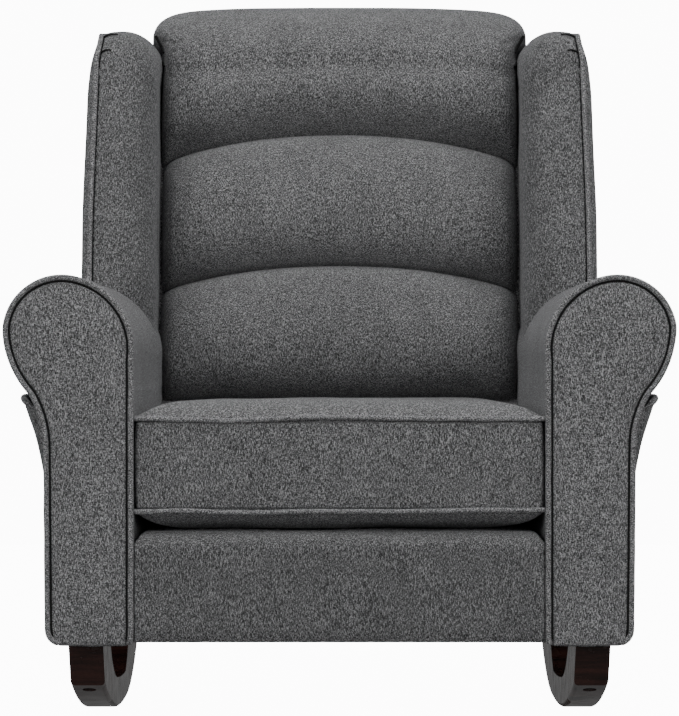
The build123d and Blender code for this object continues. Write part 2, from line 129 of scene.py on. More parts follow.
def ripple(points, wavelength, amount, seed):
    """A smooth, seeded unevenness of points (..., 3), as a number for each."""
    rng = np.random.default_rng(seed)
    total = np.zeros(points.shape[:-1])
    for _ in range(RIPPLE_WAVES):
        direction = rng.normal(size=3)
        direction /= np.linalg.norm(direction)
        wave = wavelength * MM * rng.uniform(0.7, 1.6)
        total += np.sin(points @ direction * (math.tau / wave) + rng.uniform(0, math.tau))
    return total * (amount * MM / (RIPPLE_WAVES / 2))


# ---- meshes
def make_piece(name, points, faces, material):
    mesh = bpy.data.meshes.new(name)
    mesh.from_pydata(points.tolist(), [], faces)
    mesh.validate()
    mesh.polygons.foreach_set("use_smooth", [True] * len(mesh.polygons))
    mesh.materials.append(material)
    piece = bpy.data.objects.new(name, mesh)
    bpy.context.scene.collection.objects.link(piece)
    return piece


def grid_faces(rows, columns, wrap_rows=False, wrap_columns=False, first=0, flip=False):
    here = first + np.arange(rows * columns).reshape(rows, columns)
    above = np.roll(here, -1, axis=0)
    corners = joined(here, np.roll(here, -1, axis=1), np.roll(above, -1, axis=1), above)
    corners = corners[:rows if wrap_rows else rows - 1, :columns if wrap_columns else columns - 1]
    if flip:
        corners = corners[..., [0, 3, 2, 1]]
    return corners.reshape(-1, 4).tolist()


def grid_piece(name, grid, material, wrap_rows=False, wrap_columns=False, flip=False, caps=False):
    """A mesh from a grid of points (rows, columns, 3). Caps close both ends of a tube with fans."""
    rows, columns = grid.shape[:2]
    points = grid.reshape(-1, 3)
    faces = grid_faces(rows, columns, wrap_rows, wrap_columns, flip=flip)
    if caps:
        for row, turned in ((0, flip), (rows - 1, not flip)):
            centre = len(points)
            points = np.vstack([points, grid[row].mean(axis=0)])
            for j in range(columns):
                a = row * columns + j
                b = row * columns + (j + 1) % columns
                faces.append((centre, a, b) if turned else (centre, b, a))
    return make_piece(name, points, faces, material)


def thick_grid(name, grid, thickness, material, flip=False):
    """A closed sheet: the grid, and the grid set back by a vector in mm, or one for each point."""
    rows, columns = grid.shape[:2]
    half = rows * columns
    back = grid + np.asarray(thickness) * MM
    points = np.vstack([grid.reshape(-1, 3), back.reshape(-1, 3)])
    faces = grid_faces(rows, columns, flip=flip)
    faces += grid_faces(rows, columns, first=half, flip=not flip)
    here = np.arange(half).reshape(rows, columns)
    border = np.concatenate([here[:, 0], here[-1, 1:], here[-2::-1, -1], here[0, -2:0:-1]]).tolist()
    for a, b in zip(border, border[1:] + border[:1]):
        faces.append((a, b, b + half, a + half) if flip else (a, a + half, b + half, b))
    return make_piece(name, points, faces, material)


def tube_grid(path, radius, closed=False, sides=12):
    """Points of a round tube along a path (n, 3), with an untwisted frame."""
    path = np.asarray(path, float)
    if closed:
        tangent = np.roll(path, -1, axis=0) - np.roll(path, 1, axis=0)
    else:
        tangent = np.gradient(path, axis=0)
    tangent /= np.linalg.norm(tangent, axis=1)[:, None]
    side = np.cross(tangent[0], ASKEW)
    frames = []
    for t in tangent:
        side = side - t * (side @ t)
        side /= np.linalg.norm(side)
        frames.append((side, np.cross(t, side)))
    twist = 0.0
    if closed:
        start, last, t = frames[0][0], frames[-1][0], tangent[0]
        last = last - t * (last @ t)
        twist = math.atan2(np.cross(last, start) @ t, last @ start)
    radius = np.broadcast_to(radius, len(path))
    turn = np.linspace(0, math.tau, sides, endpoint=False)
    grid = np.zeros((len(path), sides, 3))
    for k, (a, b) in enumerate(frames):
        angle = turn + twist * k / len(path)
        grid[k] = path[k] + radius[k] * (np.cos(angle)[:, None] * a + np.sin(angle)[:, None] * b)
    return grid


def piping(name, path, radius, material, closed=False):
    """Round sewn piping, with its radius in mm. Open ends taper to a rounded tip."""
    path = np.asarray(path, float)
    sizes = np.full(len(path), radius * MM)
    if not closed:
        taper = np.minimum(np.arange(len(path)), np.arange(len(path))[::-1]) / 3
        sizes = sizes * np.sqrt(np.clip(taper, 0.02, 1))
    grid = tube_grid(path, sizes, closed)
    return grid_piece(name, grid, material, wrap_rows=closed, wrap_columns=True, caps=not closed)


def fold_shade_line(name, grid, places, radius, side):
    """A thin near-black tube of painted shade along a fold on a surface's front, through (X, Z) places
    in mm, thickest at its start.
    """
    points = grid.reshape(-1, 3)
    path = []
    for x, z in respaced(np.array(places) * MM, 24):
        near = np.hypot(points[:, 0] - x, points[:, 2] - z) < 2.5 * MM
        if near.any():
            path.append((x, points[near, 1].min() - 0.4 * radius * MM, z))
    path = softened(np.array(path), 8)
    tube = tube_grid(flipped(path, side), radius * MM * np.linspace(1, 0.5, len(path)))
    return grid_piece(name, tube, SEAM_SHADOW, wrap_columns=True, caps=True)


def arc_points(start, middle, end, count):
    """Points of the circular arc through three points of a plane."""
    a, b, c = (complex(*point) for point in (start, middle, end))
    w = (c - a) / (b - a)
    centre = a + (b - a) * (w - abs(w) ** 2) / (2j * w.imag)
    passed, turn = (np.angle((p - centre) / (a - centre)) % (math.tau) for p in (b, c))
    if passed > turn:
        turn -= math.tau
    arc = centre + (a - centre) * np.exp(1j * turn * shares(count))
    return joined(arc.real, arc.imag)


def respaced(points, count, closed=False):
    """The same line with evenly spaced points."""
    points = np.asarray(points, float)
    if closed:
        points = np.vstack([points, points[:1]])
    steps = np.linalg.norm(np.diff(points, axis=0), axis=1)
    along = np.concatenate([[0], np.cumsum(steps)])
    keep = np.concatenate([[True], steps > TINY])
    points, along = points[keep], along[keep]
    at = np.linspace(0, along[-1], count, endpoint=not closed)
    return np.stack([np.interp(at, along, points[:, k]) for k in range(points.shape[1])], axis=1)


def softened(line, passes, closed=False):
    """Rounds a line's corners by averaging each point with its neighbours."""
    for _ in range(passes):
        middle = (np.roll(line, 1, axis=0) + np.roll(line, -1, axis=0)) / 2
        new = (line + middle) / 2
        if not closed:
            new[0], new[-1] = line[0], line[-1]
        line = new
    return line


def outward(loop):
    """Outward normals of a closed plane loop that runs clockwise or anticlockwise."""
    tangent = np.roll(loop, -1, axis=0) - np.roll(loop, 1, axis=0)
    tangent /= np.linalg.norm(tangent, axis=1)[:, None]
    normal = joined(tangent[:, 1], -tangent[:, 0])
    x, y = loop[:, 0], loop[:, 1]
    area = np.sum(x * np.roll(y, -1) - np.roll(x, -1) * y)
    return normal if area > 0 else -normal


def inset(loop, distance):
    return loop - outward(loop) * distance


def loop_distance(points, loop):
    """Distance of plane points (..., 2) from a dense loop."""
    flat = points.reshape(-1, 2)
    best = np.full(len(flat), np.inf)
    for p in loop:
        best = np.minimum(best, np.hypot(flat[:, 0] - p[0], flat[:, 1] - p[1]))
    return best.reshape(points.shape[:-1])


def unit_grid(rows, columns, first=0):
    """Shares across, from first to 1, and up, from 0 to 1, for every point of a grid."""
    return np.meshgrid(np.linspace(first, 1, columns), shares(rows))


def flipped(grid, side):
    """The grid on its own side of the chair: side is 1 on the right and -1 on the left."""
    grid = grid.copy()
    grid[..., 0] *= side
    return grid


def finish_piece(piece, *nodes, body="chair", slot="upholstery"):
    """Joins a piece to its body in place of the CAD nodes named, which it hides. slot is not used."""
    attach(piece, body)
    if nodes:
        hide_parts(*nodes)


# ---- materials
EVEN = (1, 1, 1)
# Which way the slubs run, as scales of the noise along X, Y and Z
UPRIGHT = (1.0, 1.0, 0.24)
LAID = (0.6, 0.16, 1.0)
WRAPPED = (0.85, 0.2, 0.85)
# Greys of the dark, middle and light yarns, by their places in the noise
YARNS = ((0.41, 0.008), (0.50, 0.070), (0.59, 0.34))
YARN_BLUE = 1.02
# Scale of a wave texture whose bands are one metre apart
BAND_SCALE = 0.314


def new_material(name):
    material = bpy.data.materials.new(name)
    material.use_nodes = True
    tree = material.node_tree
    return material, tree, tree.nodes["Principled BSDF"]


def feed(tree, node, inputs):
    """Sets or links a node's inputs by name."""
    for name, value in inputs.items():
        if isinstance(value, bpy.types.NodeSocket):
            tree.links.new(value, node.inputs[name])
        else:
            node.inputs[name].default_value = value
    return node


def scaled_coordinates(tree, scale):
    place = tree.nodes.new("ShaderNodeTexCoord").outputs["Object"]
    mapping = feed(tree, tree.nodes.new("ShaderNodeMapping"), {"Scale": scale, "Vector": place})
    return mapping.outputs["Vector"]


def noise(tree, scale3, size, detail=2.0, roughness=0.5, distortion=0.0):
    node = feed(tree, tree.nodes.new("ShaderNodeTexNoise"), {
        "Scale": size,
        "Detail": detail,
        "Roughness": roughness,
        "Distortion": distortion,
        "Vector": scaled_coordinates(tree, scale3),
    })
    return node.outputs["Fac"]


def ramp(tree, value, stops):
    """A colour ramp of (position, grey or colour) stops."""
    node = feed(tree, tree.nodes.new("ShaderNodeValToRGB"), {"Fac": value})
    elements = node.color_ramp.elements
    while len(elements) < len(stops):
        elements.new(0.5)
    for element, (position, colour) in zip(elements, stops):
        element.position = position
        element.color = colour if isinstance(colour, tuple) else (colour, colour, colour, 1)
    return node.outputs["Color"]


def combined(tree, operation, a, b):
    """The result of a sum or product of two sockets or numbers."""
    node = tree.nodes.new("ShaderNodeMath")
    node.operation = operation
    return feed(tree, node, {0: a, 1: b}).outputs[0]


def weighted_sum(tree, *terms):
    total = None
    for value, weight in terms:
        part = combined(tree, "MULTIPLY", value, weight)
        total = part if total is None else combined(tree, "ADD", total, part)
    return total


def shaded(tree, share, colour, shade):
    """The colour multiplied by a shade, at that share."""
    node = tree.nodes.new("ShaderNodeMix")
    node.data_type = "RGBA"
    node.blend_type = "MULTIPLY"
    values = {"Factor": share, "A": colour, "B": shade}
    for index, socket in enumerate(node.inputs):
        if socket.enabled and socket.name in values:
            feed(tree, node, {index: values[socket.name]})
    return next(socket for socket in node.outputs if socket.enabled)


def bump(tree, height, strength, distance, under=None):
    """A bumped normal, on top of another where one is given."""
    node = tree.nodes.new("ShaderNodeBump")
    feed(tree, node, {"Strength": strength, "Distance": distance * MM, "Height": height})
    if under is not None:
        feed(tree, node, {"Normal": under})
    return node.outputs["Normal"]


def weave_height(tree, pitch):
    """Threads over and under along X, Y and Z, so that cloth shows its weave however it faces."""
    total = None
    for direction in ("X", "Y", "Z"):
        wave = tree.nodes.new("ShaderNodeTexWave")
        wave.wave_type = "BANDS"
        wave.bands_direction = direction
        feed(tree, wave, {
            "Scale": BAND_SCALE / (pitch * MM),
            "Distortion": 1.6,
            "Detail": 1.0,
            "Detail Scale": 2.0,
            "Vector": scaled_coordinates(tree, EVEN),
        })
        threads = wave.outputs["Fac"]
        total = threads if total is None else combined(tree, "ADD", total, threads)
    return total


def upholstery_material(name, tone=1.0, along=UPRIGHT):
    """Heathered grey cloth: light and dark slubs along the warp, a visible weave and a dry sheen."""
    material, tree, shader = new_material(name)
    slub = noise(tree, along, 1150, 2.0, 0.6)
    fleck = noise(tree, (1.0, 1.0, 0.6), 1900, 1.5, 0.6)
    cross = noise(tree, (0.3, 0.12, 1.0), 1400, 2.0, 0.6)
    broad = noise(tree, (1.0, 1.0, 0.35), 30, 3.0, 0.55)
    yarn = weighted_sum(tree, (slub, 0.48), (cross, 0.34), (fleck, 0.18))
    greys = [(place, tone * grey) for place, grey in YARNS]
    colour = ramp(tree, yarn, [(place, (grey, grey, grey * YARN_BLUE, 1)) for place, grey in greys])
    weave = bump(tree, weave_height(tree, 1.1), 0.35, 0.25)
    feed(tree, shader, {
        "Base Color": shaded(tree, 1.0, colour, ramp(tree, broad, [(0.3, 0.84), (0.7, 1.0)])),
        "Roughness": 0.92,
        "Specular IOR Level": 0.15,
        "Sheen Weight": 0.16,
        "Sheen Roughness": 0.6,
        "Sheen Tint": (0.85, 0.86, 0.88, 1),
        "Normal": bump(tree, slub, 0.7, 0.5, weave),
    })
    return material


def lacquer_material():
    """Espresso stain under lacquer, with faint grain along the board."""
    material, tree, shader = new_material("espresso_lacquer")
    grain = noise(tree, (0.8, 1.0, 9.0), 12, 4.0, 0.5, 0.3)
    pores = noise(tree, (4.0, 1.6, 30.0), 60, 2.0, 0.5)
    colour = ramp(tree, grain, [(0.3, (0.012, 0.007, 0.006, 1)), (0.7, (0.048, 0.019, 0.015, 1))])
    feed(tree, shader, {
        "Base Color": shaded(tree, 0.5, colour, ramp(tree, pores, [(0.35, 0.4), (0.6, 1.0)])),
        "Roughness": ramp(tree, noise(tree, EVEN, 40, 3.0), [(0.3, 0.20), (0.75, 0.32)]),
        "Specular IOR Level": 0.28,
        "Coat Weight": 0.05,
        "Coat Roughness": 0.08,
        "Normal": bump(tree, grain, 0.08, 0.3),
    })
    return material


def timber_material(name, light, dark, scale3):
    """Bare sawn timber, for the hidden frame."""
    material, tree, shader = new_material(name)
    rings = noise(tree, scale3, 18, 6.0, 0.6, 1.2)
    fibre = noise(tree, tuple(6 * s for s in scale3), 90, 2.0, 0.5)
    colour = ramp(tree, rings, [(0.3, light + (1,)), (0.55, dark + (1,)), (0.7, light + (1,))])
    feed(tree, shader, {
        "Base Color": shaded(tree, 0.35, colour, ramp(tree, fibre, [(0.3, 0.6), (0.7, 1.0)])),
        "Roughness": 0.75,
        "Normal": bump(tree, fibre, 0.4, 0.4),
    })
    return material


def steel_material():
    """Zinc-plated steel, mottled."""
    material, tree, shader = new_material("zinc_steel")
    patch = noise(tree, EVEN, 260, 3.0, 0.6)
    feed(tree, shader, {
        "Base Color": ramp(tree, patch, [(0.3, 0.16), (0.7, 0.42)]),
        "Roughness": ramp(tree, patch, [(0.3, 0.28), (0.7, 0.5)]),
        "Metallic": 1.0,
        "Normal": bump(tree, patch, 0.15, 0.1),
    })
    return material


def plain_cloth_material(name, dark, light, pitch):
    """Webbing, dust cloth, zipper tape, and near-black cloth for painted shade in seams and folds: one
    colour of thread with an open weave.
    """
    material, tree, shader = new_material(name)
    weave = weave_height(tree, pitch)
    value = weighted_sum(tree, (weave, 0.22), (noise(tree, EVEN, 900, 2.0), 0.5))
    feed(tree, shader, {
        "Base Color": ramp(tree, value, [(0.3, dark + (1,)), (0.8, light + (1,))]),
        "Roughness": 0.9,
        "Specular IOR Level": 0.2,
        "Normal": bump(tree, weave, 0.5, 0.3),
    })
    return material


CLOTH = upholstery_material("heather_grey_cloth")
CLOTH_FLAT = upholstery_material("heather_grey_cloth_laid", 1.0, LAID)
CLOTH_WRAPPED = upholstery_material("heather_grey_cloth_wrapped", 1.0, WRAPPED)
# The same cloth in lit and shaded copies: lighter on the arms' fronts and all piping as painted light,
# darker on the wings and band as painted shade
CLOTH_ARM_LIT = upholstery_material("heather_grey_cloth_arm_lit", 1.13)
CLOTH_WING_SHADED = upholstery_material("heather_grey_cloth_wing_shaded", 0.84, (1.0, 0.3, 0.24))
CLOTH_BAND_SHADED = upholstery_material("heather_grey_cloth_band_shaded", 0.85)
PIPING_LIT = upholstery_material("heather_grey_piping_lit", 1.3, (0.7, 0.7, 0.7))
# Near-black cloth for the tubes in seams and folds: painted shade where the grooves fall dark
SEAM_SHADOW = plain_cloth_material("seam_painted_shade", (0.002, 0.002, 0.002), (0.008, 0.008, 0.008), 1.0)
DUST_CLOTH = plain_cloth_material("dust_cloth", (0.004, 0.004, 0.005), (0.03, 0.03, 0.033), 1.2)
ZIPPER = plain_cloth_material("zipper_tape", (0.01, 0.01, 0.012), (0.05, 0.05, 0.055), 1.5)

# Finishes of the CAD nodes that keep their own shape, by material slot
FINISHES = {
    "rocker_wood": lacquer_material(),
    "frame_wood": timber_material(
        "frame_timber", (0.42, 0.27, 0.14), (0.26, 0.15, 0.07), (1, 0.15, 1)
    ),
    "plywood": timber_material("frame_plywood", (0.5, 0.35, 0.2), (0.34, 0.22, 0.11), (0.3, 2, 0.3)),
    "steel": steel_material(),
    "webbing": plain_cloth_material("elastic_webbing", (0.16, 0.14, 0.11), (0.36, 0.33, 0.28), 1.6),
}


def dress_cad_nodes():
    for row in frame["record"]["subparts"]:
        material = FINISHES.get(row["material_slot"])
        if material is not None:
            materials = frame["nodes"][row["node"]].data.materials
            materials.clear()
            materials.append(material)


# ---- arms
ROLL_BASE_Z = 430 * MM
# How far the front panel hangs below the cover behind it, in mm
FACE_DROP = 4.5
# How far the cover is pulled in at both ends, in mm
ARM_TUCK = 9
# Radius of the piping on arms and wings, in mm
PIPING_R = 3.6


def arm_loop(count, drop=0.0):
    """The scroll arm's front outline, evenly spaced: up the inside, over the roll, down the outside.

    drop lowers its bottom edge, in mm."""
    stretches = [
        [(264, 118 - drop), (258.5, 121 - drop), (258, 130), (258, 472)],
        arc_points((258, 472), (277, 543), (335, 578), 40),
        arc_points((335, 578), (399, 559), (422, 514), 40),
        arc_points((422, 514), (415, 472), (390, 430), 30),
        arc_points((390, 430), (377, 402), (371, 365), 20),
        [(371, 365), (369, 138 - drop)],
        arc_points((369, 138 - drop), (363, 124 - drop), (349, 118 - drop), 10),
    ]
    return softened(respaced(np.vstack(stretches) * MM, count, closed=True), 3, closed=True)


def arm_side_x(z):
    """X of the arm's outer face at height z."""
    loop = arm_loop(400)
    outer = loop[loop[:, 0] > 330 * MM]
    outer = outer[np.argsort(outer[:, 1])]
    return np.interp(z, outer[:, 1], outer[:, 0])


def arm_cover(side, name):
    """The arm's cloth from the front piping to the back, tucked in at both ends."""
    loop = arm_loop(280)
    x, z = loop.T
    steps_back = np.concatenate([[3, 3.4, 4.2, 5.5, 7.5, 10.5, 15, 22, 32], np.linspace(45, 660, 56)])
    stations = FRONT_Y + steps_back * MM
    share = (stations - stations[0]) / (stations[-1] - stations[0])
    far_end = smooth((share - 0.985) / 0.015)
    tuck = crown(stations - stations[0], ARM_TUCK, 2.6) - ARM_TUCK * MM * (1 + far_end)
    end_y = rear_y(z, PANEL_T - 1 * MM)
    y = stations[:, None] + (end_y - stations[-1]) * smooth((share - 0.3) / 0.7)[:, None]
    grid = joined(x, y, z)
    # The outer panel is sewn on under the roll
    seam = np.exp(-((z - ROLL_BASE_Z) / (2.6 * MM)) ** 2) * (x > 350 * MM)
    slack = np.where((x < 300 * MM) & (z < 440 * MM), 0.3, 1.6)
    near_front = np.exp(-(steps_back / 30) ** 2)[:, None]
    pucker = np.sin(np.arange(len(loop)) * math.tau / 7.5) * 0.25 * MM
    out = tuck[:, None] - 3.0 * MM * seam * smooth(share * 30)[:, None]
    out = out + ripple(grid, 190, 1.0, 11 + side) * slack * smooth(share * 12)[:, None]
    out = out + pucker * near_front
    normals = outward(loop)
    grid[..., 0] += out * normals[:, 0]
    grid[..., 2] += out * normals[:, 1]
    grid[..., 2] = np.maximum(grid[..., 2], BASE_Z - 0.5 * MM)
    grid = flipped(grid, side)
    return grid_piece(name, grid, CLOTH_WRAPPED, wrap_columns=True, caps=True, flip=side > 0)


def arm_face(side, name):
    """The padded front panel, highest in its middle and sunk at the seam inside the piping."""
    rows, columns = 220, 90
    loop = inset(arm_loop(360, 3 * FACE_DROP), 8.8 * MM)
    bottom = int(np.argmin(loop[:, 1] + 0.02 * np.abs(loop[:, 0] - 310 * MM)))
    loop = np.roll(loop, -bottom, axis=0)
    top = int(np.argmax(loop[:, 1]))
    inner, outer = loop[:top + 1], loop[top:][::-1]
    low, high = loop[:, 1].min(), loop[:, 1].max()
    z = low + (high - low) * (0.6 * crowded(rows) + 0.4 * shares(rows))
    z = np.clip(z, low + 0.02 * MM, high - 0.02 * MM)
    left, right = (np.interp(z, climbing(line[:, 1]), line[:, 0]) for line in (inner, outer))
    u = 0.5 - 0.5 * np.cos(math.pi * crowded(columns))
    x = left[:, None] + (right - left)[:, None] * u
    distance = loop_distance(joined(x, z[:, None]), loop)
    grid = joined(x, 0, z[:, None])
    rise = pillow(distance, 9.5, 4.5, 30) + ripple(grid, 130, 0.9, 5 + side) * ease(distance, 0, 30)
    grid[..., 1] = FRONT_Y + 11.5 * MM - rise
    return thick_grid(name, flipped(grid, side), (0, 6, 0), CLOTH_ARM_LIT, flip=side < 0)


def arm_edge(distance, depth, lowest):
    """The front outline without its bottom edge: up the inside, over the roll and down the outside.

    In mm: its distance inside the outline, depth behind the front and lowest height."""
    loop = inset(arm_loop(420, FACE_DROP), distance * MM)
    corner = int(np.argmin(np.hypot(loop[:, 0] - 300 * MM, loop[:, 1] - 110 * MM)))
    loop = np.roll(loop, -corner, axis=0)
    if loop[20, 0] > loop[0, 0]:
        loop = loop[::-1]
    loop = loop[loop[:, 1] > lowest * MM]
    return joined(loop[:, 0], FRONT_Y + depth * MM, loop[:, 1])


def arm_piping(side, name):
    path = arm_edge(3.4, 3.6, 117)
    path[:, 1] += ripple(path, 60, 0.4, 3 + side)
    path[:, 0] += ripple(path, 45, 0.25, 7 + side)
    return piping(name, flipped(path, side), PIPING_R, PIPING_LIT)


def arm_seam_shade(side, name):
    """A near-black tube of painted shade in the seam between the arm's piping and its front panel."""
    return piping(name, flipped(arm_edge(8.1, 4.0, 122), side), 1.9, SEAM_SHADOW)


def build_arm(side, word):
    cover = arm_cover(side, "arm_cover_" + word)
    replaced = ("arm_roll_" + word, "inside_arm_" + word, "outside_arm_" + word)
    finish_piece(cover, *replaced)
    face = arm_face(side, "arm_front_pad_" + word)
    finish_piece(face, "arm_face_" + word)
    finish_piece(arm_piping(side, "arm_piping_" + word), "arm_welt_" + word, slot="piping")
    finish_piece(arm_seam_shade(side, "arm_seam_shade_" + word), slot="piping")


# ---- wings
WING_SEAM_X = 346 * MM
WING_INNER_X = 261.5 * MM
WING_FOOT_Z = 480 * MM
WING_PIPING_FOOT_Z = 540 * MM
WING_PEAK_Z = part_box("wing_welt_right")[1].z + 2 * MM
WING_ROWS = 520
WING_TAIL_COLUMNS = 8


def wing_paths(count):
    """The wing's outer seam, and where its inner face meets the back, as (Y, Z), bottom to rear."""
    front, peak, foot = WING_FRONT_Y / MM, WING_PEAK_Z / MM, WING_FOOT_Z / MM
    outer_end, inner_end = (rear_y(z * MM, PANEL_T + 13 * MM) / MM for z in (peak, 902))
    outer = [
        [(front - 8, foot), (front, 578)],
        arc_points((front + 2, 600), (front + 30, 735), (front + 66, 880), 20),
        arc_points((front + 69, 892), (front + 80, peak - 24), (front + 108, peak - 7), 14),
        [(front + 150, peak - 1), (front + 220, peak), (outer_end, peak - 4)],
    ]
    inner = [
        [(front + 96, foot), (front + 104, 578), (front + 130, 720)],
        arc_points((front + 150, 800), (front + 168, 868), (front + 206, 896), 14),
        [(front + 250, 902), (inner_end, 904)],
    ]
    lines = (respaced(np.vstack(line) * MM, count) for line in (outer, inner))
    return [softened(line, 40) for line in lines]


def seam_x(z):
    """The seam leans in a little towards the top of the wing."""
    return WING_SEAM_X - 4 * MM * ease(z, 650, 250) - 5 * MM * ease(z, 890, 50)


def line_normals(line):
    tangent = np.gradient(line, axis=0)
    tangent /= np.linalg.norm(tangent, axis=1)[:, None]
    return joined(-tangent[:, 1], tangent[:, 0])


def pleat(along, inboard, start, reach, depth):
    """A sewn pleat that leaves the seam, curves up it and dies out inboard."""
    centre = start + 6 * MM * (1 - np.exp(-inboard / (7 * MM)))
    fade = ease(inboard, 0, 1.5) * (1 - smooth((inboard - 0.55 * reach) / (0.45 * reach)))
    away = along - centre
    groove = np.exp(-(away / (1.6 * MM)) ** 2)
    lip = 0.35 * np.exp(-((away - 4 * MM) / (3 * MM)) ** 2)
    return depth * fade * (groove - lip)


# Pleats at the wing's top corner: how far up the seam from the knob, reach inboard and depth, in mm
WING_PLEATS = ((-3, 26, 2.5), (-26, 20, 2.5), (12, 26, 2.0))
# Near-black tubes of painted shade along the sharp folds in them, as (X, Z) in mm on the right, from
# the seam inboard
WING_FOLD_SHADES = (
    ((341, 933), (336, 936.5), (330, 939), (323, 940.5), (316, 940)),
    ((342, 910), (338, 913), (333, 915), (328, 916), (324, 915)),
)


def wing_surface(side):
    """The padded inner face as a grid, with its pleats, tail behind the channels and rear end."""
    columns, squareness = 76, 0.70
    outer, inner = wing_paths(WING_ROWS)
    turn = math.pi / 2 * shares(columns) ** 1.5
    share_x = np.sin(turn) ** squareness
    share_in = 1 - np.abs(np.cos(turn)) ** squareness
    share_in[-1] = 1.0
    plane = outer[:, None, :] + (inner - outer)[:, None, :] * share_in[:, None]
    edge_x = seam_x(outer[:, 1])[:, None]
    x = edge_x + (WING_INNER_X - edge_x) * share_x
    grid = np.concatenate([x[..., None], plane], axis=2)

    proud = line_normals(outer)
    inboard = edge_x - x
    steps = np.linalg.norm(np.diff(outer, axis=0), axis=1)
    along = np.concatenate([[0], np.cumsum(steps)])[:, None]
    swell = 3.5 * MM * np.sin(np.clip(inboard / (80 * MM), 0, 1) * math.pi)
    swell = swell + pillow(inboard, 7, 2, 14) - 8 * MM
    knob_at = along[np.argmax(outer[:, 1] > WING_PEAK_Z - 12 * MM), 0]
    for up, reach, depth in WING_PLEATS:
        swell = swell - pleat(along, inboard, knob_at + up * MM, reach * MM, depth * MM)
    grid[..., 1] += swell * proud[:, :1]
    grid[..., 2] += swell * proud[:, 1:]

    tail_share = shares(WING_TAIL_COLUMNS + 1)[1:][:, None]
    tail_way = np.concatenate([np.zeros((len(outer), 1)), -proud], axis=1)[:, None, :]
    corner = np.exp(-((np.abs(proud[:, 0]) - np.abs(proud[:, 1])) / 0.5) ** 2)
    tail_size = (62 + 70 * np.abs(proud[:, 0])) * (1 - 0.75 * corner) * MM
    tail = grid[:, -1:, :] + tail_share * tail_size[:, None, None] * tail_way
    tail[..., 0] += 7 * MM * tail_share[:, 0]
    grid = np.concatenate([grid, tail], axis=1)

    relief = ripple(grid, 130, 1.8, 21 + side) + ripple(grid, 45, 0.5, 23 + side)
    sewn = np.concatenate([ease(inboard, 0, 20), np.ones((len(outer), WING_TAIL_COLUMNS))], axis=1)
    grid[..., 0] -= relief * 0.4 * sewn
    grid[..., 1] -= relief * sewn

    covered = (np.arange(grid.shape[1]) < columns)[:, None]
    rear = grid[-1:] + np.linspace(0, 12, 5)[1:, None, None] * np.array([0, MM, 0]) * covered
    foot = rear[-1:] + np.array([0, 0, -30 * MM]) * covered
    return np.concatenate([grid, rear, foot])


def wing_pad(side, name):
    """The padded inner face, rolling from the piping round the front and over the top."""
    grid = wing_surface(side)
    inward = np.ones(grid.shape) * (side * 3, 9, -6)
    inward[..., 1] *= 1 - smooth((np.arange(len(grid)) - WING_ROWS + 60) / 50)[:, None]
    return thick_grid(name, flipped(grid, side), inward, CLOTH_WING_SHADED, flip=side > 0)


def wing_lining(side, name):
    """The cloth inside the corner between the wing and the back's channels."""
    u, v = unit_grid(30, 20)
    z = (430 + 458 * v) * MM
    near = WING_FRONT_Y + (125 + 65 * v) * MM
    y = near + (rear_y(z, PANEL_T + 12 * MM) - near) * u
    grid = joined(264 * MM + 0.3 * MM * np.sin(9 * v), y, z)
    return thick_grid(name, flipped(grid, side), (side * 0.5, 0, 0), CLOTH, flip=side < 0)


def wing_outside(side, name):
    """The outer panel of the wing, which swells out behind its piping."""
    rows, columns = 130, 80
    outer = wing_paths(240)[0]
    climb = climbing(outer[:, 1])
    z = WING_FOOT_Z + (climb[-1] - 0.5 * MM - WING_FOOT_Z) * shares(rows) ** 0.85
    front = np.interp(z, climb, outer[:, 0])
    rear = rear_y(z, PANEL_T - 2 * MM)
    y = front[:, None] + (rear - front)[:, None] * shares(columns) ** 1.7
    zz = z[:, None]
    border = np.vstack([respaced(outer, 500), joined(rear, z)])
    distance = loop_distance(joined(y, zz), border)
    x = seam_x(zz) + 3 * MM + crown(distance, 13, 4) * (1 - 0.62 * ease(zz, 845, 110))
    grid = joined(x, y, zz)
    grid[..., 0] += ripple(grid, 160, 1.2, 31 + side) * ease(distance, 0, 30)
    return thick_grid(name, flipped(grid, side), (-side * 6, 0, 0), CLOTH, flip=side > 0)


def wing_edge(below_peak, inside, out):
    """The wing's front seam up to a height below its peak, moved in and out from it; all in mm."""
    outer = wing_paths(400)[0]
    start = np.argmax(outer[:, 1] > WING_PIPING_FOOT_Z)
    end = np.argmax(outer[:, 1] > WING_PEAK_Z - below_peak * MM)
    seam = outer[start:end]
    line = seam - line_normals(outer)[start:end] * inside * MM
    x = seam_x(line[:, 1])[:, None] + out * MM
    return np.concatenate([x, line], axis=1)


def wing_piping(side, name):
    """Piping up the wing's outer front edge, ending in a small knob at the top."""
    path = wing_edge(9, 0, 3.4)
    path[:, 1] -= 0.5 * MM
    path = np.vstack([path, path[-1] + np.array([-0.6, 0.6, 2.0]) * MM])
    return piping(name, flipped(path, side), PIPING_R, PIPING_LIT)


def wing_seam_shade(side, name):
    """A near-black tube of painted shade in the seam between the wing's piping and its inner pad."""
    return piping(name, flipped(wing_edge(12, 1.2, -0.8), side), 1.5, SEAM_SHADOW)


def build_wing(side, word):
    pad = wing_pad(side, "wing_cover_" + word)
    finish_piece(pad, "wing_pad_" + word)
    finish_piece(wing_lining(side, "wing_lining_" + word))
    finish_piece(wing_outside(side, "wing_outside_" + word))
    finish_piece(wing_piping(side, "wing_piping_" + word), "wing_welt_" + word, slot="piping")
    finish_piece(wing_seam_shade(side, "wing_seam_shade_" + word), slot="piping")
    # Near-black tubes of painted shade along the pleats' sharp folds
    for number, places in enumerate(WING_FOLD_SHADES, start=1):
        fold_shade = fold_shade_line(f"wing_fold_shade_{word}_{number}", wing_surface(side), places, 1.7, side)
        finish_piece(fold_shade, slot="piping")


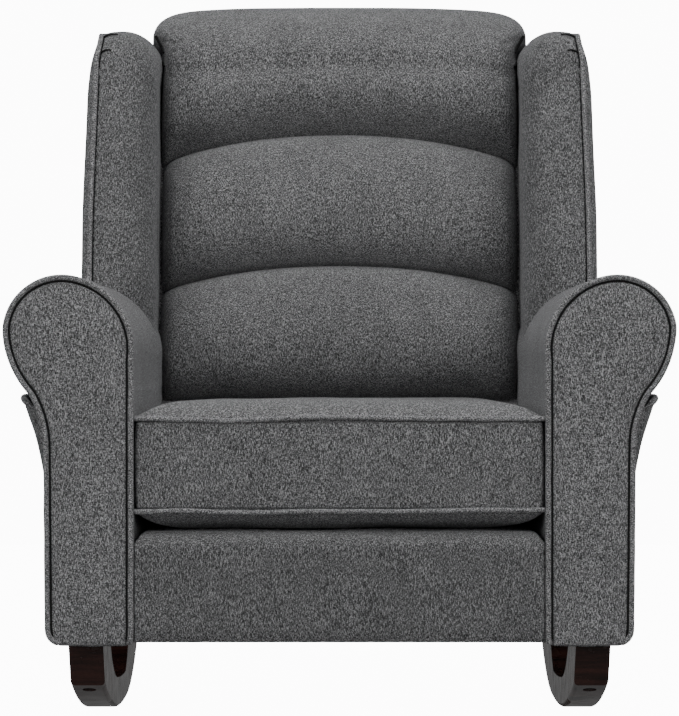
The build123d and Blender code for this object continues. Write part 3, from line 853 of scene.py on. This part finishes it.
# ---- back
ROLL_HALF_X = 264 * MM
# Height up the slope of each seam between channels at its middle, and its drop at the ends, in mm
CHANNEL_SEAMS = {1: (181, 36), 2: (379, 40)}
# Tucks at the top channel's corners: X, height, half-width, half-height and depth in mm, and slant
TOP_TUCKS = ((268, 958, 5, 15, 12, 0.5), (262, 926, 5, 7, 9, 0.0), (254, 958, 5, 13, 4, 0.7))
# Near-black tubes of painted shade along the sharp folds in them, as (X, Z) in mm on the right
ROLL_FOLD_SHADES = (
    ((273, 957), (267, 946), (262, 936), (259, 929)),
    ((263, 917), (260, 912), (257, 908)),
)


def seam_height(number, x):
    """Height up the slope of the sewn seam under channel 1 or 2; it arches in the middle."""
    middle, side_drop = CHANNEL_SEAMS[number]
    return (middle - side_drop * (np.abs(x) / (256 * MM)) ** 2.2) * MM


def end_puckers(grid, share, seed):
    """Small gathers where a channel's cloth is pulled in at its ends."""
    near_end = smooth((np.abs(share) - 0.86) / 0.12)
    return ripple(grid * (0.2, 1.0, 1.0), 26, 1.3, seed) * near_end


def lower_roll(number, name):
    """A stuffed channel between two seams, full in the middle and rounded off at both ends."""
    u = 2 * crowded(190) - 1
    x = u * ROLL_HALF_X
    low = seam_height(1, x) if number == 1 else -18 * MM
    high = seam_height(number + 1, x)
    v = crowded(110)[:, None]
    swell = np.clip(1 - (2 * v - 1) ** 2, 0, 1) ** 0.36
    end = (1 - np.abs(u) ** 22) ** 0.6
    depth = (88 + 68 * swell * (0.15 + 0.85 * end) - 45 * (1 - end)) * MM
    height = low + (high - low) * v - 10 * MM * np.sin(math.pi * v) * swell
    grid = back_grid(height, depth, x)
    relief = ripple(grid, 170, 3.2, 41 + number) + ripple(grid, 60, 0.9, 51 + number)
    grid[..., 1] -= relief * swell * end + end_puckers(grid, u, 55 + number) * swell
    return thick_grid(name, grid, (0, 40 * math.cos(LEAN), -40 * math.sin(LEAN)), CLOTH)


def top_roll_surface():
    """The top channel: full in front, over the top rail and down behind, wider above the wings."""
    rows, columns = 170, 210
    section = np.vstack([
        [(364, 88)],
        arc_points((366, 100), (402, 147), (465, 154), 30),
        arc_points((465, 154), (528, 148), (562, 119), 20),
        arc_points((564, 116), (583, 78), (566, 28), 24),
        arc_points((564, 24), (545, 2), (510, -1), 12),
        [(470, -1), (455, 6)],
    ]) * MM
    section = softened(respaced(section, rows), 6)
    u = 2 * crowded(columns) - 1
    height, depth = section[:, :1], section[:, 1:]
    level = BACK_FOOT_Z + height * math.cos(LEAN) + depth * math.sin(LEAN)
    wide = ease(level, 905, 40) * (1 - ease(depth, 120, 40))
    x = (ROLL_HALF_X + 15 * MM * wide) * u

    end = (1 - np.abs(u) ** 12) ** 0.6
    front_end = (1 - np.abs(u) ** 20) ** 0.6
    closed_end = 0.03 + 0.97 * (1 - np.abs(u) ** 90) ** 0.5
    tall = height - (height - 500 * MM) * (1 - end) * 0.42 * ease(height, 470, 60)
    tall = tall + (seam_height(2, x) - 366 * MM) * (1 - ease(height, 366, 150))
    tall = tall - 9 * MM * np.abs(u) ** 2.5 * ease(height, 480, 60)
    thin = np.where(depth > 75 * MM, 0.35 + 0.65 * front_end, 0.8 + 0.2 * front_end)
    grid = back_grid(tall, 75 * MM + (depth - 75 * MM) * thin * closed_end, x)

    relief = ripple(grid, 180, 3.0, 61) + ripple(grid, 60, 0.9, 63)
    grid[..., 1] -= relief * front_end * ease(height, 368, 40) + end_puckers(grid, u, 65)
    for across, up, half_width, half_height, dent, slant in TOP_TUCKS:
        above = level - up * MM
        aside = np.abs(x) - across * MM - slant * above
        spot = (aside / (half_width * MM)) ** 2 + (above / (half_height * MM)) ** 2
        grid[..., 1] += dent * MM * np.exp(-spot) * (depth > 60 * MM)
    return grid


def inside_lining(name):
    """The cloth behind the channels, which their seams are sewn to."""
    u, v = unit_grid(40, 40, first=-1)
    depth = (84 + 3 * np.sin(9 * v) * np.cos(3 * u)) * MM
    grid = back_grid((540 * v - 20) * MM, depth, 266 * MM * u)
    return thick_grid(name, grid, (0, 3, 0), CLOTH)


def pull_through(name):
    """The cloth that runs from under the bottom channel down behind the cushion to the deck."""
    u, v = unit_grid(40, 60, first=-1)
    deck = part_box("seat_deck")[1]
    foot_y, foot_z = deck.y - 3 * MM, deck.z - 4 * MM
    head_y, head_z = rear_y(BACK_FOOT_Z, 89 * MM), BACK_FOOT_Z + 2 * MM
    bow = 74 * MM * np.clip(np.sin(math.pi * v**1.5), 0, 1) ** 0.7
    y = foot_y + (head_y - foot_y) * v - bow
    grid = joined(264 * MM * u, y, foot_z + (head_z - foot_z) * v)
    grid[..., 1] += ripple(grid, 90, 0.8, 77)
    return thick_grid(name, grid, (0, 1.5, 0), CLOTH)


def outside_back(name):
    """The flat panel behind, pulled over the frame, with a soft edge all round."""
    rows, columns = 150, 120
    z = np.linspace(BASE_Z + 1 * MM, 932 * MM, rows)
    arm_half = arm_side_x(z)
    wing_half = seam_x(z) + 11 * MM * (1 - 0.7 * ease(z, 880, 60))
    merge = ease(z, 560, 26)
    half = arm_half * (1 - merge) + wing_half * merge
    x = half[:, None] * (2 * crowded(columns) - 1)
    zz = z[:, None]
    border = [joined(way * half, z) for way in (1, -1)]
    border += [[(t * half[row], z[row]) for t in np.linspace(-1, 1, 60)] for row in (0, -1)]
    distance = loop_distance(joined(x, zz), np.vstack(border))
    grid = joined(x, 0, zz)
    puff = crown(distance, 6.5, 12) + ripple(grid, 260, 1.2, 71) * ease(distance, 0, 50)
    grid[..., 1] = rear_y(zz) - 7 * MM + puff
    return thick_grid(name, grid, (0, -4, 0), CLOTH, flip=True)


def build_back():
    for number, node in enumerate(("back_roll_bottom", "back_roll_middle")):
        roll = lower_roll(number, node + "_cover")
        finish_piece(roll, node)
    surface = top_roll_surface()
    roll = thick_grid("back_roll_top_cover", surface, (0, 4, -4), CLOTH)
    # Near-black tubes of painted shade along the sharp folds of the top channel's tucks
    for side, word in SIDES:
        for number, places in enumerate(ROLL_FOLD_SHADES, start=1):
            fold_shade = fold_shade_line(f"back_roll_fold_shade_{word}_{number}", surface, places, 2.4, side)
            finish_piece(fold_shade, slot="piping")
    finish_piece(roll, "back_roll_top")
    finish_piece(outside_back("outside_back_cover"), "outside_back")
    finish_piece(inside_lining("inside_back_lining"))
    finish_piece(pull_through("back_pull_through"))


# ---- seat
SEAT_TOP_PIPING_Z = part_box("seat_welt_top")[0].z + 3 * MM
SEAT_LOW_PIPING_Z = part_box("seat_welt_bottom")[0].z + 3 * MM
DECK_TOP_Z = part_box("seat_deck")[1].z
BAND_HALF_X = 258.5 * MM
CUSHION_HALF_X = 258.3 * MM
CUSHION_HALF_Y = (CUSHION_HIGH.y - CUSHION_LOW.y) / 2 + 1.5 * MM
CUSHION_MIDDLE = np.array([0.0, (CUSHION_HIGH.y + CUSHION_LOW.y) / 2])


def cushion_loop(count, grow=0.0, ears=0.0):
    """The cushion's plan, with its sides pulled in and its corners drawn out to ears."""
    half_x, half_y = CUSHION_HALF_X + grow * MM, CUSHION_HALF_Y + grow * MM
    turn = np.linspace(0, math.tau, 4001)[:-1]
    c, s = np.cos(turn), np.sin(turn)
    power = 2 / 60
    x = half_x * np.sign(c) * np.abs(c) ** power
    y = half_y * np.sign(s) * np.abs(s) ** power
    pull_x = 1.5 * MM * (1 - (y / half_y) ** 2)
    pull_y = 3.0 * MM * (1 - (x / half_x) ** 2)
    x = x - np.sign(x) * pull_x * (np.abs(x) / half_x) ** 8
    y = y - np.sign(y) * pull_y * (np.abs(y) / half_y) ** 8
    corner = (np.abs(x) / half_x * np.abs(y) / half_y) ** 24 * ears * MM
    x = x + np.sign(x) * corner * 0.3
    y = y + np.sign(y) * corner
    return respaced(joined(x, y) + CUSHION_MIDDLE, count, closed=True)


def cushion_panel(name, edge_z, rise, way, seed):
    """The cushion's top or bottom panel: crowned, steep by the piping and flatter in the middle."""
    loop = cushion_loop(320, -1.5)
    rings = (1 - shares(46) ** 1.5)[-2::-1]
    plan = CUSHION_MIDDLE + (loop - CUSHION_MIDDLE) * rings[:, None, None]
    distance = loop_distance(plan, loop)
    grid = joined(plan[..., 0], plan[..., 1], 0)
    uneven = ripple(grid, 210, 1.6, seed) + ripple(grid, 70, 0.5, seed + 1)
    z = edge_z + way * (crown(distance, rise, 26) + uneven * ease(distance, 0, 60))
    grid[..., 2] = np.maximum(z, DECK_TOP_Z + 1.5 * MM)
    centre = (*CUSHION_MIDDLE, grid[0, :, 2].mean())
    points = np.vstack([grid.reshape(-1, 3), centre])
    faces = grid_faces(*grid.shape[:2], wrap_columns=True, flip=way > 0)
    for j in range(len(loop)):
        triangle = (len(points) - 1, j, (j + 1) % len(loop))
        faces.append(triangle if way > 0 else triangle[::-1])
    return make_piece(name, points, faces, CLOTH_FLAT)


def cushion_boxing(name):
    """The boxing band between the two rows of piping, bowed out over the foam."""
    loop = cushion_loop(700)
    normals = outward(loop)
    v = crowded(60)[:, None]
    tall = SEAT_TOP_PIPING_Z - SEAT_LOW_PIPING_Z
    bow = pillow(np.minimum(v, 1 - v) * tall - 3.0 * MM, 4.0, 2.2, 16) - 6.5 * MM
    plan = loop + normals * bow[..., None]
    grid = joined(plan[..., 0], plan[..., 1], SEAT_LOW_PIPING_Z + tall * v)
    uneven = ripple(grid, 110, 1.0, 83) * np.sin(math.pi * v)
    grid[..., :2] += normals * uneven[..., None]
    return grid_piece(name, grid, CLOTH, wrap_columns=True)


def cushion_piping(name, z, seed):
    loop = cushion_loop(620, -1.6, 7)
    path = joined(*loop.T, z)
    path[:, 2] += ripple(path, 190, 2.0, seed) + ripple(path, 60, 0.5, seed + 1)
    return piping(name, path, 3.2, PIPING_LIT, closed=True)


def front_band(name):
    """The padded cover of the front rail: rounded at its top corners, with a soft lower hem."""
    v = shares(80)[:, None]
    u = 2 * crowded(150) - 1
    corner = smooth((np.abs(u) - 0.93) / 0.07) ** 1.5
    z = BASE_Z + (BAND_TOP_Z - BASE_Z) * v - corner * smooth((v - 0.7) / 0.3) * 14 * MM
    grid = joined(BAND_HALF_X * u, 0, z)
    edge = np.minimum((1 - np.abs(u)) * BAND_HALF_X, (z - BASE_Z) * 1.6)
    shoulder = 1 - np.clip((BAND_TOP_Z - z) / (22 * MM), 0, 1)
    round_top = 26 * MM * (1 - np.sqrt(np.clip(1 - shoulder ** 2, 0, 1)))
    uneven = ripple(grid, 150, 0.9, 91) * ease(edge, 0, 30)
    grid[..., 1] = FRONT_Y + 9 * MM - pillow(edge, 4, 4, 10) + round_top + uneven
    return thick_grid(name, grid, (0, 5, 0), CLOTH_BAND_SHADED)


def seat_deck(name):
    """The padded deck under the loose cushion."""
    low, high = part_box("seat_deck")
    u, v = unit_grid(60, 60)
    wide, deep = high.x - low.x, high.y - low.y
    edge = np.minimum(np.minimum(u, 1 - u) * wide, np.minimum(v, 1 - v) * deep)
    z = high.z - 9 * MM + crown(edge, 8, 14)
    grid = joined(low.x + wide * u, low.y + deep * v, z)
    grid[..., 2] += ripple(grid, 140, 0.8, 95) * ease(edge, 0, 30)
    return thick_grid(name, grid, (0, 0, -14), CLOTH_FLAT)


def zipper(name):
    """The zipper at the cushion's rear: a coil of teeth, and its tape."""
    low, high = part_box("cushion_zipper")
    wide, y, z = high.x - low.x, low.y + 1.6 * MM, (low.z + high.z) / 2
    teeth = 200
    t = shares(teeth * 8)
    turn = t * teeth * math.tau
    path = joined(low.x + wide * t, y + 1.0 * MM * np.cos(turn), z + 1.6 * MM * np.sin(turn))
    coil = grid_piece(name, tube_grid(path, 0.5 * MM, sides=6), ZIPPER, wrap_columns=True, caps=True)
    u, v = np.meshgrid(shares(120), np.linspace(-1, 1, 9))
    tape_y = y - 1.4 * MM + 0.3 * MM * np.cos(v * 3)
    grid = joined(low.x + wide * u, tape_y, z + 8 * MM * v)
    return coil, thick_grid(name + "_tape", grid, (0, 0.8, 0), ZIPPER, flip=True)


def build_seat():
    boxing = cushion_boxing("cushion_boxing")
    finish_piece(boxing, "seat_cushion", body="cushion")
    top = cushion_panel("cushion_top", SEAT_TOP_PIPING_Z, 24, 1, 101)
    finish_piece(top, body="cushion")
    bottom = cushion_panel("cushion_bottom", SEAT_LOW_PIPING_Z, 26, -1, 107)
    finish_piece(bottom, body="cushion")
    for word, z, seed in (("top", SEAT_TOP_PIPING_Z, 111), ("bottom", SEAT_LOW_PIPING_Z, 115)):
        welt = cushion_piping("cushion_piping_" + word, z, seed)
        finish_piece(welt, "seat_welt_" + word, body="cushion", slot="piping")
    coil, tape = zipper("cushion_zip")
    finish_piece(coil, "cushion_zipper", body="cushion", slot="zipper")
    finish_piece(tape, body="cushion", slot="zipper")
    band = front_band("front_band_cover")
    finish_piece(band, "front_band")
    deck = seat_deck("seat_deck_cover")
    finish_piece(deck, "seat_deck")


# ---- pockets and dust cover
POCKET_FACE_TOP_Z = 415 * MM


def mouth_gape(u):
    """How far the pocket's mouth gapes at share u of its length from the front."""
    return np.sin(math.pi * np.clip(u, 0, 1) ** 0.55) ** 0.5


def pocket_mouth(u, z):
    """X of the pocket's mouth."""
    face = arm_side_x(np.minimum(z, POCKET_FACE_TOP_Z))
    return face + 1.7 * MM + (POCKET_HIGH.x + 3 * MM - face) * mouth_gape(u)


def side_pocket(side, name):
    """A patch pocket, sewn down at its foot and ends, whose hemmed mouth gapes."""
    u, v = unit_grid(64, 90)
    y = POCKET_LOW.y + (POCKET_HIGH.y - POCKET_LOW.y) * u
    z = POCKET_LOW.z + (POCKET_HIGH.z - POCKET_LOW.z) * v
    z = z + 20 * MM * (mouth_gape(u) - 0.75) * v ** 2
    foot_x = arm_side_x(np.minimum(z, POCKET_FACE_TOP_Z)) + 1.5 * MM
    grid = joined(foot_x + (pocket_mouth(u, z) - foot_x) * v ** 2, y, z)
    grid[..., 0] += np.abs(ripple(grid, 80, 1.4, 131 + side)) * v ** 2 * np.sin(math.pi * u)
    return thick_grid(name, flipped(grid, side), (-side * 1.6, 0, 0), CLOTH, flip=side > 0)


def pocket_hem(side, name):
    """The rolled edge of the pocket's mouth."""
    u = shares(160)
    y = POCKET_LOW.y + (POCKET_HIGH.y - POCKET_LOW.y) * u
    z = POCKET_HIGH.z + 20 * MM * (mouth_gape(u) - 0.75)
    path = joined(pocket_mouth(u, z), y, z)
    return piping(name, flipped(path, side), 4.2, PIPING_LIT)


def build_pockets():
    for side, word in SIDES:
        pocket = side_pocket(side, "side_pocket_cloth_" + word)
        finish_piece(pocket, "side_pocket_" + word)
        finish_piece(pocket_hem(side, "side_pocket_hem_" + word), slot="piping")


def dust_cover():
    """Black cloth stretched under the seat and stapled round its edge."""
    low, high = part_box("dust_cover")
    u, v = unit_grid(50, 50)
    x = (low.x + 38 * MM) + (high.x - low.x - 76 * MM) * u
    y = low.y + (high.y - low.y) * v
    sag = 5 * MM * np.sin(math.pi * u) * np.sin(math.pi * v)
    grid = joined(x, y, low.z + 0.2 * MM - sag)
    cover = thick_grid("dust_cover_cloth", grid, (0, 0, 0.6), DUST_CLOTH, flip=True)
    finish_piece(cover, "dust_cover", slot="dust_cloth")


# ---- stage, lights and camera
# Each area light's place, target, size in metres and power in watts
LIGHTS = {
    "overhead": ((0, -0.9, 3.0), (0, -0.1, 0.5), (2.4, 1.5), 67),
    "left": ((-2.0, -2.5, 1.1), (0, 0, 0.4), (1.1, 1.4), 37),
    "right": ((2.0, -2.5, 1.1), (0, 0, 0.4), (1.1, 1.4), 37),
    "front": ((0, -4.6, 0.7), (0, 0, 0.4), (3.0, 0.8), 19),
    "behind": ((0, 4.0, 2.0), (0, 0, 0.5), (2.6, 1.6), 36),
    "floor_bounce": ((0, 0.001, -0.05), (0, 0, 1), (5.0, 5.0), 12),
}
SKY_STRENGTH = 0.17
FLOOR_R, WALL_R, WALL_TOP = 8.0, 10.0, 12.0
CAMERA_PLACE = (0, -4.08, 0.447)


def build_stage():
    """A pale floor that curves up into a round wall, for a plain ground in every view."""
    material, tree, shader = new_material("pale_floor")
    feed(tree, shader, {
        "Base Color": ramp(tree, noise(tree, EVEN, 3, 2.0), [(0.3, 0.86), (0.7, 0.9)]),
        "Roughness": 0.9,
        "Emission Color": (1, 1, 1, 1),
        "Emission Strength": 12.0,
    })
    profile = np.vstack([
        [(0.0002, 0.0), (FLOOR_R, 0.0)],
        arc_points((FLOOR_R, 0.0), (9.4, 0.6), (WALL_R, 2.0), 20),
        [(WALL_R, WALL_TOP)],
    ])
    turn = np.linspace(0, math.tau, 96, endpoint=False)
    grid = np.zeros((len(profile), len(turn), 3))
    grid[..., 0] = profile[:, :1] * np.cos(turn)
    grid[..., 1] = profile[:, :1] * np.sin(turn)
    grid[..., 2] = profile[:, 1:]
    floor = grid_piece("floor", grid, material, wrap_columns=True)
    floor.visible_diffuse = False
    floor.visible_glossy = False
    floor.visible_shadow = False


def place_object(name, data, place, turn):
    holder = bpy.data.objects.new(name, data)
    bpy.context.scene.collection.objects.link(holder)
    holder.location = place
    holder.rotation_euler = turn
    return holder


def area_light(name, place, target, size, power):
    lamp = bpy.data.lights.new(name, "AREA")
    lamp.shape = "RECTANGLE"
    lamp.size, lamp.size_y = size
    lamp.energy = power
    aim = np.array(target) - np.array(place)
    yaw = math.atan2(aim[1], aim[0]) - math.pi / 2
    pitch = math.atan2(aim[2], math.hypot(aim[0], aim[1])) + math.pi / 2
    place_object(name, lamp, place, (pitch, 0, yaw)).visible_camera = False


def build_lights():
    """Area lights round the chair, and a sky that is brighter above than below."""
    for name, settings in LIGHTS.items():
        area_light(name, *settings)
    world = bpy.data.worlds.new("studio")
    bpy.context.scene.world = world
    world.use_nodes = True
    sky = world.node_tree
    place = sky.nodes.new("ShaderNodeTexCoord").outputs["Generated"]
    split = feed(sky, sky.nodes.new("ShaderNodeSeparateXYZ"), {0: place})
    up = combined(sky, "ADD", combined(sky, "MULTIPLY", split.outputs["Z"], 0.5), 0.5)
    shade = ramp(sky, up, [(0.40, 0.30), (0.60, 1.0)])
    feed(sky, sky.nodes["Background"], {"Color": shade, "Strength": SKY_STRENGTH})


def build_camera():
    camera = bpy.data.cameras.new("camera")
    camera.lens = 148
    camera.sensor_width = 36
    camera.shift_y = 0.0307
    bpy.context.scene.camera = place_object("camera", camera, CAMERA_PLACE, (math.pi / 2, 0, 0))


build_camera()
build_stage()
build_lights()
dress_cad_nodes()
for side, word in SIDES:
    build_arm(side, word)
    build_wing(side, word)
build_back()
build_seat()
build_pockets()
dust_cover()
